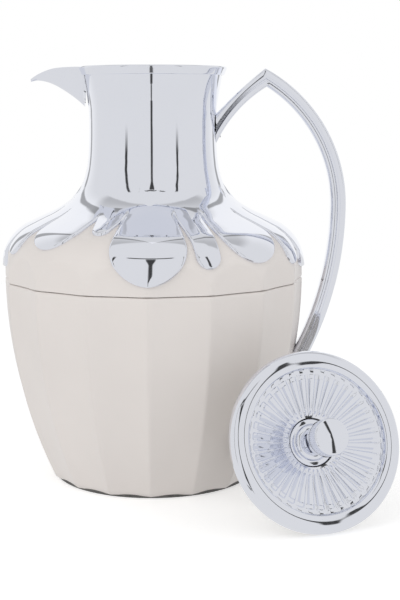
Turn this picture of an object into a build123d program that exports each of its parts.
from build123d import *
from math import cos, pi, radians, sin, sqrt
import os

os.makedirs("parts", exist_ok=True)

# Insulated serving pitcher with a loose stopper lid.  Millimetres, +Z up, the table at z = 0.
# The origin is on the pitcher's own axis.  The spout looks along -X, the handle along +X,
# and the front of the pitcher faces -Y.

# ---- overall sizes ---------------------------------------------------------------------
rim_height = 240.0        # top of the rim band
body_radius = 87.8        # widest part, measured over the ridges
base_radius = 60.6        # over the ridges at the bottom
seam_height = 118.2       # where the lower body meets the shoulder
ridge_count = 16
flute_hollow = 0.9        # how far each flute dips below a flat facet
shell_wall = 2.0          # plastic left behind the deepest flute
seam_gap = 0.5
foot_lift = 0.8           # the foot ring holds the shell this far off the table

# ---- collar, neck and rim --------------------------------------------------------------
plate = 1.6               # plated collar thickness
neck_wall = 2.2           # plastic neck inside the collar
shoulder_line = [
    (body_radius, seam_height),
    (87.2, 127.0),
    (84.0, 137.0),
    (77.2, 145.3),
    (67.3, 150.7),
    (54.9, 156.7),
    (43.5, 165.8),
    (38.0, 177.2),
    (35.9, 190.0),
    (35.3, 208.0),
    (36.1, 224.0),
]
lip_radius = 40.2         # outside of the collar's upright lip
lip_height = 4.6
band_height = 5.3
band_top_radius = 43.1
band_low_radius = 41.5
band_cap = 1.2            # thickness of the band where it folds over the lip

# Each petal: angle from the front, half width at the tip, half width at the root,
# and how far its tip reaches down the petal plane.
petal_tilt = 35.0
petal_root = 92.0
petals = [
    (0.0, 21.0, 15.5, 49.9),
    (22.5, 7.2, 7.5, 58.2),
    (45.0, 18.6, 15.0, 59.4),
    (67.5, 7.4, 8.0, 55.6),
    (90.0, 21.0, 15.5, 50.4),
    (112.5, 8.6, 8.0, 61.0),
    (135.0, 15.6, 15.0, 67.4),
    (157.5, 5.4, 7.0, 81.0),
]
hub_radius = 60.0         # inside this radius the collar is unbroken

# ---- spout -----------------------------------------------------------------------------
spout_wall = 1.4
spout_sections = [        # reach from the axis, half width, top and underside heights
    (35.0, 12.6, 240.0, 213.0),
    (45.1, 11.2, 239.8, 222.1),
    (56.5, 7.6, 238.8, 229.4),
    (65.0, 4.0, 236.0, 232.0),
    (70.4, 1.3, 232.9, 231.4),
]
channel_reach = 64.5      # where the pouring channel runs out at the lip

# ---- handle ----------------------------------------------------------------------------
knee_x = 112.7            # furthest point of the handle
knee_height = 160.0
upper_bow = 89.6          # radius of the upper arc of the back edge
lower_bow = 198.3         # radius of the lower arc of the back edge
foot_height = 46.0
apex_x = 65.0
root_x = 30.0
band_depth = 5.2          # outer band, measured in from the back edge
handle_depth = 8.8        # band and rail together
band_half = 7.5           # half widths across the handle
rail_half = 6.0
handle_round = 1.5
neck_screw_height = 201.0
neck_screw_reach = 8.2
foot_screw_reach = 12.0
foot_screw_height = 67.0

# ---- vacuum bottle ---------------------------------------------------------------------
bottle_radius = 60.0
bottle_bottom = 20.0
bottle_round = 27.0
glass_wall = 1.4
vacuum_gap = 4.0
neck_outer = 30.6
neck_inner = 29.2
bore_radius = 26.5        # the mouth the stopper goes into
glass_mouth = 26.8
glass_top = 210.0
glass_lip = 1.6
bottle_shoulder = 112.0

# ---- neck insert -----------------------------------------------------------------------
basin_floor = 219.0
insert_wall = 1.6
insert_gap = 0.25
gasket_height = 3.0
skirt_height = 3.0

# ---- base ------------------------------------------------------------------------------
flange_inner = 46.0
flange_low = 4.0
flange_thick = 2.4
base_plate_radius = 54.0
base_plate_thick = 2.4
pedestal_radius = 28.0
cushion_radius = 30.0
cushion_thick = 6.0
boss_circle = 50.0
boss_radius = 3.6
screw_radius = 1.5
head_radius = 2.8
head_height = 1.8

# ---- lid, drawn upright with its underside at z = 0 ------------------------------------
lid_radius = 47.8
lid_edge = 3.0            # straight outer edge
lid_height = 6.5
ring_wall = 1.5
dish_radius = 38.1
dish_thick = 1.4
dish_edge_top = 3.4
dish_hub_top = -2.5
dish_sag = 0.4
flute_count = 38
knob_hole = 13.0
collar_radius = 12.4
collar_top = -3.0
collar_thick = 3.0
cap_radius = 9.6
knob_top = 23.1
knob_travel = 4.0
play = 0.3                # between parts that move past one another
plug_radius = 25.7
plug_wall = 1.8
plug_length = 50.0
seat_level = -40.0
seat_radius = 14.0
valve_radius = 16.5
stem_radius = 2.7
spring_radius = 5.4
spring_wire = 0.9
spring_floor = -20.0
port_count = 6
gasket_level = -24.0
port_height = 7.0

# ---- where the lid stands beside the pitcher -------------------------------------------
lid_swing = 20.6          # its face is turned this far to the right of the front
lid_lean = 21.35          # and leans back this far
lid_x = 87.1
lid_y = -102.4

half_ridge = 180.0 / ridge_count
belly_bow = ((body_radius - base_radius) ** 2 + seam_height ** 2) / (2 * (body_radius - base_radius))
shell_inset = body_radius * (1 - cos(radians(half_ridge))) + flute_hollow + shell_wall


def belly(height, inset=0.0):
    """Body radius over the ridges at a height below the seam."""
    return body_radius - belly_bow + sqrt((belly_bow - inset) ** 2 - (seam_height - height) ** 2)


def fluted(height, radius):
    """Sixteen shallow hollows meeting at sharp ridges, drawn as one closed outline."""
    low = radius * cos(radians(half_ridge)) - flute_hollow
    with BuildSketch(Plane.XY.offset(height)) as section:
        with BuildLine():
            for i in range(ridge_count):
                a = radians(2 * half_ridge * i)
                b = radians(2 * half_ridge * i + half_ridge)
                c = radians(2 * half_ridge * (i + 1))
                ThreePointArc(
                    (radius * cos(a), radius * sin(a)),
                    (low * cos(b), low * sin(b)),
                    (radius * cos(c), radius * sin(c)),
                )
        make_face()
    return section.sketch


with BuildLine() as shoulder_guide:
    Spline(*shoulder_line, tangents=[(0, 1), (0.09, 1)])


def skin(move, first=0.0, last=1.0, count=16):
    """Points along the shoulder line, moved outward by a given amount."""
    points = []
    for i in range(count):
        t = first + (last - first) * i / (count - 1)
        spot = shoulder_guide.line @ t
        run = shoulder_guide.line % t
        points.append((spot.X + move * run.Y, spot.Y - move * run.X))
    return points


def share_at(height):
    """How far along the shoulder line a height on the neck is reached."""
    low = 0.5
    high = 1.0
    for _ in range(30):
        middle = 0.5 * (low + high)
        if (shoulder_guide.line @ middle).Y < height:
            low = middle
        else:
            high = middle
    return high


# ---- solid shapes that other pieces are fitted against ---------------------------------
with BuildPart() as body_form:
    for level in (-6.0, 14.0, 36.0, 62.0, 90.0, seam_height):
        add(fluted(level, belly(level)))
    loft()

with BuildPart() as shoulder_prism:
    add(fluted(seam_height, body_radius))
    extrude(amount=rim_height - seam_height)

outer_skin = skin(plate)
with BuildPart() as collar_form:
    with BuildSketch(Plane.XZ):
        with BuildLine():
            edge = Spline(*outer_skin)
            lip = Spline(
                edge @ 1,
                (lip_radius, rim_height - band_height),
                tangents=[edge % 1, (0.75, 1)],
            )
            Polyline(
                lip @ 1,
                (lip_radius, rim_height - band_cap),
                (0, rim_height - band_cap),
                (0, seam_height),
                edge @ 0,
            )
        make_face()
    revolve(axis=Axis.Z)

# ---- lower body shell ------------------------------------------------------------------
with BuildPart() as body_shell:
    add(body_form.part)
    with BuildSketch(Plane.XY.offset(-20.0)):
        Circle(2 * body_radius)
    extrude(amount=20.0 + foot_lift, mode=Mode.SUBTRACT)
    with BuildSketch(Plane.XY.offset(seam_height - seam_gap)):
        Circle(2 * body_radius)
    extrude(amount=2 * seam_gap, mode=Mode.SUBTRACT)
    with BuildSketch(Plane.XZ):
        with BuildLine():
            low = flange_low + flange_thick
            inner = ThreePointArc(
                (belly(low, shell_inset), low),
                (belly(60.0, shell_inset), 60.0),
                (belly(seam_height, shell_inset), seam_height),
            )
            Polyline(inner @ 1, (0, seam_height), (0, low), inner @ 0)
        make_face()
    revolve(axis=Axis.Z, mode=Mode.SUBTRACT)
    with BuildSketch(Plane.XY):
        Circle(base_plate_radius + play)
    extrude(amount=flange_low, mode=Mode.SUBTRACT)
    with BuildSketch(Plane.XY):
        Circle(flange_inner)
    extrude(amount=2 * flange_low + flange_thick, mode=Mode.SUBTRACT)
    with BuildSketch(Plane.XY.offset(flange_low)):
        with PolarLocations(boss_circle, 4, start_angle=45):
            Circle(boss_radius)
    extrude(amount=12.0)
    with PolarLocations(boss_circle, 4, start_angle=45):
        Hole(screw_radius)
    with BuildSketch(Plane.XY.offset(foot_lift)):
        Circle(base_radius - 1.8)
        Circle(base_radius - 4.4, mode=Mode.SUBTRACT)
    extrude(amount=1.2, mode=Mode.SUBTRACT)

with BuildPart() as foot_ring:
    with BuildSketch(Plane.XY):
        Circle(base_radius - 1.8)
        Circle(base_radius - 4.4, mode=Mode.SUBTRACT)
    extrude(amount=foot_lift + 1.2)
    fillet(foot_ring.faces().sort_by(Axis.Z)[0].edges(), 0.4)

# ---- base plate, its pedestal, the cushion and the screws ------------------------------
plate_low = flange_low - base_plate_thick
with BuildPart() as base_plate:
    with BuildSketch(Plane.XY.offset(plate_low)):
        Circle(base_plate_radius)
    extrude(amount=base_plate_thick)
    with BuildSketch(Plane.XY.offset(flange_low)):
        Circle(pedestal_radius)
        Circle(pedestal_radius - 3.0, mode=Mode.SUBTRACT)
    extrude(amount=bottle_bottom - cushion_thick - flange_low)
    with BuildSketch(Plane.XY.offset(flange_low)):
        Rectangle(2 * pedestal_radius - 4.0, 2.0)
        Rectangle(2.0, 2 * pedestal_radius - 4.0)
    extrude(amount=bottle_bottom - cushion_thick - flange_low - 1.0)
    with BuildSketch(Plane.XY.offset(plate_low)):
        with PolarLocations(12.0, 2):
            Circle(5.0)
    extrude(amount=1.2, mode=Mode.SUBTRACT)
    with Locations((0, 0, plate_low)):
        with PolarLocations(boss_circle, 4, start_angle=45):
            Cylinder(
                head_radius,
                head_height,
                align=(Align.CENTER, Align.CENTER, Align.MIN),
                mode=Mode.SUBTRACT,
            )
    with PolarLocations(boss_circle, 4, start_angle=45):
        Hole(screw_radius)

with BuildPart() as base_screws:
    with Locations((0, 0, plate_low)):
        with PolarLocations(boss_circle, 4, start_angle=45):
            Cylinder(head_radius, head_height, align=(Align.CENTER, Align.CENTER, Align.MIN))
    with Locations((0, 0, plate_low + head_height)):
        with PolarLocations(boss_circle, 4, start_angle=45):
            Cylinder(screw_radius, 10.0, align=(Align.CENTER, Align.CENTER, Align.MIN))
    with Locations((0, 0, plate_low)):
        with PolarLocations(boss_circle, 4, start_angle=45):
            Box(
                3.6,
                0.8,
                0.9,
                align=(Align.CENTER, Align.CENTER, Align.MIN),
                mode=Mode.SUBTRACT,
            )

with BuildPart() as liner_cushion:
    with BuildSketch(Plane.XY.offset(bottle_bottom - cushion_thick)):
        Circle(cushion_radius)
    extrude(amount=cushion_thick)
    with BuildSketch(Plane.XY.offset(bottle_bottom - 2.0)):
        Circle(cushion_radius - 8.0)
    extrude(amount=2.0, mode=Mode.SUBTRACT)

# ---- vacuum bottle ---------------------------------------------------------------------


def bottle(radius, neck, bottom, top, corner, shift):
    """Solid bottle shape with rounded bottom and shoulders."""
    with BuildPart() as form:
        with BuildSketch(Plane.XZ):
            with BuildLine():
                bottle_side = FilletPolyline(
                    (0, bottom),
                    (radius, bottom),
                    (radius, bottle_shoulder + shift),
                    (neck, bottle_shoulder + shift + radius - neck),
                    (neck, top),
                    radius=corner,
                )
                Polyline(bottle_side @ 1, (0, top), (0, bottom))
            make_face()
        revolve(axis=Axis.Z)
    return form.part


inner_set = glass_wall + vacuum_gap
with BuildPart() as glass_outer:
    add(bottle(bottle_radius, neck_outer, bottle_bottom, glass_top - glass_lip, bottle_round, 0))
    add(
        bottle(
            bottle_radius - glass_wall,
            neck_inner,
            bottle_bottom + glass_wall,
            glass_top,
            bottle_round - glass_wall,
            0,
        ),
        mode=Mode.SUBTRACT,
    )

with BuildPart() as glass_inner:
    add(
        bottle(
            bottle_radius - inner_set,
            glass_mouth + 1.2,
            bottle_bottom + inner_set,
            glass_top - glass_lip,
            bottle_round - inner_set,
            0,
        )
    )
    with BuildSketch(Plane.XY.offset(glass_top - glass_lip)):
        Circle(neck_outer)
    extrude(amount=glass_lip)
    fillet(glass_inner.faces().sort_by(Axis.Z)[-1].edges(), 0.7)
    add(
        bottle(
            bottle_radius - inner_set - glass_wall,
            glass_mouth,
            bottle_bottom + inner_set + glass_wall,
            glass_top + 1.0,
            bottle_round - inner_set - glass_wall,
            0,
        ),
        mode=Mode.SUBTRACT,
    )

with BuildPart() as glass_spacers:
    with PolarLocations(bottle_radius - glass_wall, 3):
        with Locations(Location((0, 0, 70.0), (0, -90, 0))):
            Cylinder(4.0, vacuum_gap, align=(Align.CENTER, Align.CENTER, Align.MIN))
    add(
        bottle(
            bottle_radius - glass_wall,
            neck_inner,
            bottle_bottom + glass_wall,
            glass_top,
            bottle_round - glass_wall,
            0,
        ),
        mode=Mode.INTERSECT,
    )
    add(
        bottle(
            bottle_radius - inner_set,
            glass_mouth + 1.2,
            bottle_bottom + inner_set,
            glass_top - glass_lip,
            bottle_round - inner_set,
            0,
        ),
        mode=Mode.SUBTRACT,
    )

# ---- shoulder shell, seam ring ---------------------------------------------------------
shoulder_top = glass_top - 3.0
with BuildPart() as shoulder_shell:
    with BuildSketch(Plane.XZ):
        with BuildLine():
            edge = Spline(*skin(0.0))
            Polyline(edge @ 1, (0, shoulder_line[-1][1]), (0, seam_height), edge @ 0)
        make_face()
    revolve(axis=Axis.Z)
    add(shoulder_prism.part, mode=Mode.INTERSECT)
    with BuildSketch(Plane.XY.offset(shoulder_top)):
        Circle(body_radius)
    extrude(amount=rim_height, mode=Mode.SUBTRACT)
    with BuildSketch(Plane.XZ):
        with BuildLine():
            edge = Spline(*skin(-neck_wall))
            Polyline(edge @ 1, (0, (edge @ 1).Y), (0, seam_height), edge @ 0)
        make_face()
        with Locations((0, seam_height - 1.0)):
            Rectangle(
                belly(seam_height, shell_inset),
                rim_height,
                align=(Align.MIN, Align.MIN),
                mode=Mode.INTERSECT,
            )
    revolve(axis=Axis.Z, mode=Mode.SUBTRACT)

seam_ring_radius = belly(seam_height, shell_inset) - 0.3
with BuildPart() as seam_ring:
    with BuildSketch(Plane.XY.offset(seam_height - 7.0)):
        Circle(seam_ring_radius)
        Circle(seam_ring_radius - 1.8, mode=Mode.SUBTRACT)
    extrude(amount=14.0)

# ---- collar with its petals ------------------------------------------------------------


def petal_plane(angle):
    """Drawing plane for a petal: looks outward and up, y runs up the shoulder."""
    turn = radians(angle)
    tilt = radians(petal_tilt)
    facing = (sin(turn) * cos(tilt), -cos(turn) * cos(tilt), sin(tilt))
    return Plane(origin=(0, 0, 0), x_dir=(cos(turn), sin(turn), 0), z_dir=facing)


with BuildPart() as petal_field:
    for angle, tip_half, root_half, tip_reach in petals:
        for side in (0.0, 180.0):
            with BuildSketch(petal_plane(angle + side)):
                with Locations((0, tip_reach + tip_half)):
                    Circle(tip_half)
                with Locations((0, petal_root)):
                    Rectangle(2 * root_half, 1.0)
                make_hull()
            extrude(amount=200.0)
    with BuildSketch(Plane.XY.offset(seam_height)):
        Circle(hub_radius)
    extrude(amount=rim_height - seam_height)

inner_lip = lip_radius - plate
with BuildPart() as collar:
    add(collar_form.part)
    with BuildSketch(Plane.XZ):
        with BuildLine():
            edge = Spline(*skin(0.0))
            lip = Spline(
                edge @ 1,
                (inner_lip, rim_height - band_height + 0.4),
                tangents=[edge % 1, (0.75, 1)],
            )
            Polyline(lip @ 1, (inner_lip, rim_height), (0, rim_height), (0, 100.0), (body_radius, 100.0), edge @ 0)
        make_face()
    revolve(axis=Axis.Z, mode=Mode.SUBTRACT)
    add(petal_field.part, mode=Mode.INTERSECT)

with BuildPart() as rim_band:
    with BuildSketch(Plane.XZ):
        with BuildLine():
            Polyline(
                (lip_radius, rim_height - band_height + 0.3),
                (band_low_radius, rim_height - band_height + 0.3),
                (band_top_radius, rim_height - 1.0),
                (band_top_radius - 0.5, rim_height),
                (inner_lip, rim_height),
                (inner_lip, rim_height - band_cap),
                (lip_radius, rim_height - band_cap),
                close=True,
            )
        make_face()
    revolve(axis=Axis.Z)

# ---- neck insert: basin, mouth bore and skirt ------------------------------------------
insert_low = glass_top + gasket_height
with BuildPart() as neck_insert:
    with BuildSketch(Plane.XZ):
        with BuildLine():
            edge = Spline(*skin(-insert_gap, share_at(shoulder_top + play), 1.0, 6))
            lip = Spline(
                edge @ 1,
                (inner_lip - insert_gap, rim_height - band_height + 0.6),
                tangents=[edge % 1, (0.75, 1)],
            )
            Polyline(
                lip @ 1,
                (inner_lip - insert_gap, rim_height - band_cap),
                (inner_lip - insert_gap - insert_wall, rim_height - band_cap),
                (inner_lip - insert_gap - insert_wall, rim_height - 6.5),
                (33.6, basin_floor + 3.0),
                (32.0, basin_floor),
                (bore_radius, basin_floor),
                (bore_radius, insert_low),
                (neck_outer + 0.4, insert_low),
                (neck_outer + 0.4, shoulder_top - skirt_height),
                (neck_outer + 2.2, shoulder_top - skirt_height),
                (neck_outer + 2.2, shoulder_top + play),
                edge @ 0,
            )
        make_face()
    revolve(axis=Axis.Z)
    fillet(neck_insert.edges().filter_by(GeomType.CIRCLE).filter_by_position(
        Axis.Z, basin_floor - 0.1, basin_floor + 0.1).sort_by(SortBy.RADIUS)[0], 0.8)

with BuildPart() as neck_gasket:
    with BuildSketch(Plane.XY.offset(glass_top)):
        Circle(neck_outer + 0.2)
        Circle(glass_mouth + 0.2, mode=Mode.SUBTRACT)
    extrude(amount=gasket_height)

# ---- spout: a beak open along its top --------------------------------------------------


def beak(reach_list, inset, lift):
    """Round-bottomed trough lofted along -X."""
    with BuildPart() as form:
        for reach, half, top, low in reach_list:
            with BuildSketch(Plane(origin=(-reach, 0, 0), x_dir=(0, -1, 0), z_dir=(-1, 0, 0))):
                with BuildLine():
                    w = half - inset
                    bottom = low + inset
                    waist = bottom + 0.62 * (top - bottom)
                    Spline(
                        (-w, top + lift),
                        (-0.86 * w, waist),
                        (0, bottom),
                        (0.86 * w, waist),
                        (w, top + lift),
                    )
                    Line((w, top + lift), (-w, top + lift))
                make_face()
        loft()
    return form.part


beak_outer = beak(spout_sections, 0.0, 0.0)
channel_sections = [
    (28.0, 12.6, 240.0, 212.0),
    spout_sections[0],
    spout_sections[1],
    spout_sections[2],
    (channel_reach, 3.2, 237.4, 232.6),
]
beak_channel = beak(channel_sections, spout_wall, 3.0)

with BuildPart() as spout:
    add(beak_outer)
    add(beak_channel, mode=Mode.SUBTRACT)
    add(collar_form.part, mode=Mode.SUBTRACT)
    with BuildSketch(Plane.XY.offset(rim_height - band_height - 1.0)):
        Circle(band_top_radius + 0.05)
    extrude(amount=2 * band_height, mode=Mode.SUBTRACT)

with BuildPart() as channel_cut:
    add(beak_channel)
    with BuildSketch(Plane.XY):
        with Locations((-lip_radius, 0)):
            Rectangle(40.0, 80.0)
    extrude(amount=rim_height + 10.0, mode=Mode.INTERSECT)

for holder in (collar, rim_band, neck_insert):
    with holder:
        add(channel_cut.part, mode=Mode.SUBTRACT)

# ---- handle ----------------------------------------------------------------------------
lower_centre = knee_x - lower_bow
upper_centre = knee_x - upper_bow


def handle_edge(inset, apex, root, bulge):
    """One long edge of the handle, from inside the neck over the apex to the foot."""
    peak = (apex, knee_height + sqrt((upper_bow - inset) ** 2 - (apex - upper_centre) ** 2))
    knee = (knee_x - inset, knee_height)
    drop = knee_height - foot_height
    foot = (lower_centre + sqrt((lower_bow - inset) ** 2 - drop ** 2), foot_height)
    slope = radians(50.0)
    crown = (
        upper_centre + (upper_bow - inset) * cos(slope),
        knee_height + (upper_bow - inset) * sin(slope),
    )
    calf_drop = 0.5 * drop
    calf = (
        lower_centre + sqrt((lower_bow - inset) ** 2 - calf_drop ** 2),
        knee_height - calf_drop,
    )
    waist = (0.5 * (root[0] + peak[0]) - bulge * 0.75, 0.5 * (root[1] + peak[1]) + bulge * 0.66)
    ThreePointArc(root, waist, peak)
    ThreePointArc(peak, crown, knee)
    ThreePointArc(knee, calf, foot)
    return root, foot


def handle_bar(outer, inner, half):
    """A bar between two handle edges, the same width all along."""
    with BuildPart() as bar:
        with BuildSketch(Plane.XZ):
            with BuildLine():
                outer_root, outer_foot = handle_edge(*outer)
                inner_root, inner_foot = handle_edge(*inner)
                Line(outer_root, inner_root)
                Line(outer_foot, inner_foot)
            make_face()
        extrude(amount=half, both=True)
        beyond = bar.edges().filter_by(lambda e: (e @ 0.5).X > apex_x + 2 and abs((e @ 0.5).Y) > half - 0.1)
        fillet(beyond.filter_by(lambda e: e.length > 3 * handle_depth), handle_round)
    return bar.part


back_edge = (0.0, apex_x, (root_x - 10.0, 193.5), 2.0)
split_edge = (band_depth, apex_x + 0.5, (root_x - 3.2, 168.0), 9.6)
hand_edge = (handle_depth, apex_x + 1.0, (root_x, 166.0), 9.4)

with BuildPart() as handle_outer:
    add(handle_bar(back_edge, split_edge, band_half))
    add(collar_form.part, mode=Mode.SUBTRACT)
    add(body_form.part, mode=Mode.SUBTRACT)

with BuildPart() as handle_inner:
    add(handle_bar(split_edge, hand_edge, rail_half))
    add(collar_form.part, mode=Mode.SUBTRACT)
    add(body_form.part, mode=Mode.SUBTRACT)

# Screws come from inside: one through the neck, one through the lower shell.
neck_head = neck_outer + 0.7
foot_head = belly(foot_screw_height, shell_inset) - 1.2
screw_places = [
    (neck_head, neck_screw_height, neck_screw_reach),
    (foot_head, foot_screw_height, foot_screw_reach),
]


def sideways(x, z):
    return Plane(origin=(x, 0, z), x_dir=(0, 1, 0), z_dir=(1, 0, 0))


with BuildPart() as handle_screws:
    for start, height, reach in screw_places:
        with BuildSketch(sideways(start, height)):
            Circle(head_radius)
        extrude(amount=head_height)
        with BuildSketch(sideways(start, height)):
            Circle(screw_radius)
        extrude(amount=reach)
        with BuildSketch(sideways(start, height)):
            Rectangle(0.8, 3.6)
        extrude(amount=0.8, mode=Mode.SUBTRACT)

with BuildPart() as screw_holes:
    for start, height, reach in screw_places:
        with BuildSketch(sideways(start, height)):
            Circle(head_radius)
        extrude(amount=head_height)
        with BuildSketch(sideways(start, height)):
            Circle(screw_radius)
        extrude(amount=reach)

for holder in (shoulder_shell, collar, body_shell, handle_outer, handle_inner):
    with holder:
        add(screw_holes.part, mode=Mode.SUBTRACT)

# ---- lid: plated ring ------------------------------------------------------------------
inner_ring = lid_radius - ring_wall
with BuildPart() as lid_ring:
    with BuildSketch(Plane.XZ):
        with BuildLine():
            Line((inner_ring, 0), (lid_radius, 0))
            Line((lid_radius, 0), (lid_radius, lid_edge))
            crest = ThreePointArc(
                (lid_radius, lid_edge),
                (lid_radius - 1.2, lid_height - 1.3),
                (lid_radius - 3.8, lid_height - 0.1),
            )
            Polyline(
                crest @ 1,
                (dish_radius + 0.8, lid_height),
                (dish_radius, lid_height - 0.8),
                (dish_radius, dish_edge_top),
                (dish_radius + ring_wall, dish_edge_top),
                (dish_radius + ring_wall, lid_height - ring_wall),
                (inner_ring - 2.6, lid_height - ring_wall),
                (inner_ring, lid_edge),
                (inner_ring, 0),
            )
        make_face()
    revolve(axis=Axis.Z)

# ---- lid: fluted dish ------------------------------------------------------------------
rib_start = knob_hole + 2.4
rib_end = dish_radius - 2.2
rib_sink = 0.8
dish_slope = (dish_edge_top - 1.0 - dish_hub_top) / (rib_end - knob_hole)
dish_middle = 0.5 * (knob_hole + rib_end)
dish_middle_top = dish_hub_top + dish_slope * (dish_middle - knob_hole) - dish_sag


def rib_section(reach, half, rise):
    """Cross-section of one rib, standing in the bowl at a distance from the axis."""
    floor = dish_hub_top + dish_slope * (reach - knob_hole)
    with BuildSketch(Plane(origin=(reach, 0, 0), x_dir=(0, 1, 0), z_dir=(1, 0, 0))) as section:
        with BuildLine():
            Polyline(
                (-half, floor - rib_sink),
                (half, floor - rib_sink),
                (0.35 * half, floor + rise),
                (-0.35 * half, floor + rise),
                close=True,
            )
        make_face()
    return section.sketch


with BuildPart() as dish_rib:
    add(rib_section(rib_start, 0.40 * 2 * pi * rib_start / flute_count, 0.6))
    add(rib_section(rib_end - 0.8, 0.40 * 2 * pi * rib_end / flute_count, 1.3))
    loft()

with BuildPart() as lid_dish:
    with BuildSketch(Plane.XZ):
        with BuildLine():
            bowl = ThreePointArc(
                (knob_hole, dish_hub_top),
                (dish_middle, dish_middle_top),
                (rib_end, dish_edge_top - 1.0),
            )
            Polyline(
                bowl @ 1,
                (dish_radius - 1.2, dish_edge_top),
                (dish_radius, dish_edge_top),
                (dish_radius, dish_edge_top - dish_thick),
            )
            under = ThreePointArc(
                (dish_radius, dish_edge_top - dish_thick),
                (dish_middle, dish_middle_top - dish_thick),
                (knob_hole, dish_hub_top - dish_thick),
            )
            Line(under @ 1, bowl @ 0)
        make_face()
    revolve(axis=Axis.Z)
    with PolarLocations(0, flute_count):
        add(dish_rib.part)

# ---- lid: inner moulding that carries ring, dish and plug ------------------------------
moulding_radius = inner_ring
well_radius = knob_hole
spring_bore = spring_radius + 0.6
with BuildPart() as lid_moulding:
    with BuildSketch(Plane.XZ):
        with BuildLine():
            under = ThreePointArc(
                (dish_radius, dish_edge_top - dish_thick),
                (dish_middle, dish_middle_top - dish_thick),
                (knob_hole, dish_hub_top - dish_thick),
            )
            Polyline(
                under @ 1,
                (well_radius, collar_top - collar_thick - knob_travel - play),
                (spring_bore, collar_top - collar_thick - knob_travel - play),
                (spring_bore, spring_floor),
                (stem_radius + play, spring_floor),
                (stem_radius + play, spring_floor - 2.0),
                (spring_bore + 1.6, spring_floor - 2.0),
                (spring_bore + 1.6, collar_top - collar_thick - knob_travel - 2.3),
                (plug_radius - plug_wall, collar_top - collar_thick - knob_travel - 2.3),
                (plug_radius, -7.0),
                (inner_lip - insert_gap - insert_wall - 2.4, -3.0),
                (inner_lip - insert_gap - insert_wall - 1.1, 0),
                (moulding_radius, 0),
                (moulding_radius, lid_edge),
                (moulding_radius - 2.6, lid_height - ring_wall),
                (dish_radius + ring_wall, lid_height - ring_wall),
                (dish_radius + ring_wall, dish_edge_top),
                (dish_radius, dish_edge_top),
                under @ 0,
            )
        make_face()
    revolve(axis=Axis.Z)

# ---- stopper plug ----------------------------------------------------------------------
plug_top = collar_top - collar_thick - knob_travel - 2.3
with BuildPart() as plug_body:
    with BuildSketch(Plane.XZ):
        with BuildLine():
            Polyline(
                (plug_radius - plug_wall, plug_top),
                (plug_radius, -7.0),
                (plug_radius, -plug_length),
                (plug_radius - plug_wall, -plug_length),
                (plug_radius - plug_wall, seat_level),
                (seat_radius, seat_level),
                (seat_radius, seat_level + 1.8),
                (plug_radius - plug_wall, seat_level + 1.8),
                close=True,
            )
        make_face()
    revolve(axis=Axis.Z)
    with BuildSketch(Plane.XZ):
        with Locations((plug_radius, gasket_level)):
            Rectangle(2.0, 4.0)
    revolve(axis=Axis.Z, mode=Mode.SUBTRACT)
    with BuildSketch(Plane.XY.offset(plug_top - 0.8 - port_height)):
        with PolarLocations(plug_radius, port_count):
            Rectangle(12.0, 12.0)
    extrude(amount=port_height, mode=Mode.SUBTRACT)
    with BuildSketch(Plane.XY.offset(plug_top - 2.4)):
        with PolarLocations(plug_radius - plug_wall - 2.2, 3, start_angle=30):
            Circle(3.2)
    extrude(amount=2.4)

with BuildPart() as plug_gasket:
    with BuildSketch(Plane.XZ):
        with BuildLine():
            Polyline(
                (plug_radius - 1.0, gasket_level - 2.0),
                (plug_radius, gasket_level - 2.0),
                (bore_radius - 0.05, gasket_level - 0.5),
                (bore_radius - 0.05, gasket_level + 0.5),
                (plug_radius, gasket_level + 2.0),
                (plug_radius - 1.0, gasket_level + 2.0),
                close=True,
            )
        make_face()
    revolve(axis=Axis.Z)

with BuildPart() as lid_screws:
    with BuildSketch(Plane.XY.offset(plug_top - 4.0)):
        with PolarLocations(plug_radius - plug_wall - 2.2, 3, start_angle=30):
            Circle(2.0)
    extrude(amount=1.6)
    with BuildSketch(Plane.XY.offset(plug_top - 2.4)):
        with PolarLocations(plug_radius - plug_wall - 2.2, 3, start_angle=30):
            Circle(1.0)
    extrude(amount=5.0)

for holder in (lid_moulding, plug_body):
    with holder:
        add(lid_screws.part, mode=Mode.SUBTRACT)

# ---- knob, stem and valve --------------------------------------------------------------
with BuildPart() as knob:
    with BuildSketch(Plane.XZ):
        with BuildLine():
            neck_side = Spline(
                (5.6, collar_top + 3.0),
                (4.9, 6.5),
                (6.4, 10.2),
                (cap_radius - 0.3, 12.2),
                tangents=[(-0.2, 1), (1, 0.5)],
            )
            brow = ThreePointArc(
                neck_side @ 1,
                (cap_radius + 0.1, 14.6),
                (cap_radius - 0.3, knob_top - 5.4),
            )
            dome = ThreePointArc(
                brow @ 1,
                (cap_radius - 2.2, knob_top - 1.6),
                (cap_radius - 5.6, knob_top - 0.2),
            )
            Polyline(dome @ 1, (0, knob_top), (0, collar_top), (5.6, collar_top), neck_side @ 0)
        make_face()
    revolve(axis=Axis.Z)
    with BuildSketch(Plane.XY.offset(collar_top)):
        Circle(stem_radius - 0.7)
    extrude(amount=9.0, mode=Mode.SUBTRACT)

with BuildPart() as knob_collar:
    with BuildSketch(Plane.XZ):
        with BuildLine():
            Polyline(
                (stem_radius, collar_top - collar_thick),
                (collar_radius, collar_top - collar_thick),
                (collar_radius, collar_top - 0.6),
                (collar_radius - 0.6, collar_top),
                (9.4, collar_top),
            )
            boss = ThreePointArc((9.4, collar_top), (8.6, collar_top + 1.5), (7.0, collar_top + 2.2))
            Polyline(
                boss @ 1,
                (5.6, collar_top + 2.2),
                (5.6, collar_top),
                (stem_radius, collar_top),
                (stem_radius, collar_top - collar_thick),
            )
        make_face()
    revolve(axis=Axis.Z)

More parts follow.
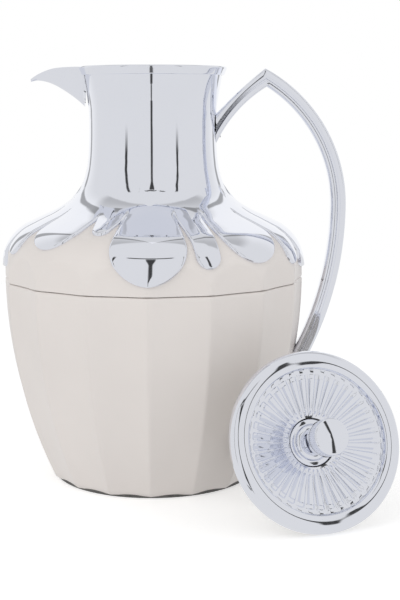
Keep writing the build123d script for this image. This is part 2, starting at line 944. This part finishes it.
valve_top = seat_level - play - 1.5
with BuildPart() as valve_stem:
    with BuildSketch(Plane.XY.offset(valve_top - 5.0)):
        Circle(stem_radius - 1.2)
    extrude(amount=5.0)
    with BuildSketch(Plane.XY.offset(valve_top)):
        Circle(stem_radius)
    extrude(amount=collar_top - valve_top)
    with BuildSketch(Plane.XY.offset(collar_top)):
        Circle(stem_radius - 0.7)
    extrude(amount=9.0)

with BuildPart() as valve_head:
    with BuildSketch(Plane.XY.offset(valve_top - 2.6)):
        Circle(valve_radius)
        Circle(stem_radius - 1.2, mode=Mode.SUBTRACT)
    extrude(amount=2.6)
    fillet(valve_head.faces().sort_by(Axis.Z)[0].edges().sort_by(SortBy.LENGTH)[-1], 1.0)

with BuildPart() as valve_seal:
    with BuildSketch(Plane.XY.offset(valve_top)):
        Circle(valve_radius + 0.6)
        Circle(stem_radius, mode=Mode.SUBTRACT)
    extrude(amount=1.5)

with BuildPart() as stem_clip:
    with BuildSketch(Plane.XY.offset(valve_top - 3.4)):
        Circle(stem_radius + 0.6)
        Circle(stem_radius - 1.2, mode=Mode.SUBTRACT)
    extrude(amount=0.8)

spring_low = spring_floor + 0.5 * spring_wire + 0.02
spring_high = collar_top - collar_thick - play - 0.5 * spring_wire
with BuildPart() as valve_spring:
    with BuildLine():
        Helix(
            pitch=(spring_high - spring_low) / 5.0,
            height=spring_high - spring_low,
            radius=spring_radius - 0.5 * spring_wire,
            center=(0, 0, spring_low),
        )
    with BuildSketch(Plane(origin=(spring_radius - 0.5 * spring_wire, 0, spring_low), z_dir=(0, 1, 0))):
        Circle(0.5 * spring_wire)
    sweep(is_frenet=True)

# ---- hand everything over --------------------------------------------------------------
turn = radians(lid_swing)
lean = radians(lid_lean)
lid_rest = Plane(
    origin=(lid_x, lid_y, lid_radius * cos(lean)),
    x_dir=(cos(turn), sin(turn), 0),
    z_dir=(sin(turn) * cos(lean), -cos(turn) * cos(lean), sin(lean)),
).location

standing = {
    "body_shell": body_shell,
    "shoulder_shell": shoulder_shell,
    "seam_ring": seam_ring,
    "foot_ring": foot_ring,
    "base_plate": base_plate,
    "base_screws": base_screws,
    "liner_cushion": liner_cushion,
    "glass_outer": glass_outer,
    "glass_inner": glass_inner,
    "glass_spacers": glass_spacers,
    "neck_gasket": neck_gasket,
    "neck_insert": neck_insert,
    "collar": collar,
    "rim_band": rim_band,
    "spout": spout,
    "handle_outer": handle_outer,
    "handle_inner": handle_inner,
    "handle_screws": handle_screws,
}
leaning = {
    "lid_ring": lid_ring,
    "lid_dish": lid_dish,
    "lid_moulding": lid_moulding,
    "plug_body": plug_body,
    "plug_gasket": plug_gasket,
    "lid_screws": lid_screws,
    "valve_spring": valve_spring,
    "knob": knob,
    "knob_collar": knob_collar,
    "valve_stem": valve_stem,
    "valve_head": valve_head,
    "valve_seal": valve_seal,
    "stem_clip": stem_clip,
}
for label, piece in standing.items():
    piece.part.label = label
    export_step(piece.part, "parts/" + label + ".step")
for label, piece in leaning.items():
    placed = piece.part.moved(lid_rest)
    placed.label = label
    export_step(placed, "parts/" + label + ".step")
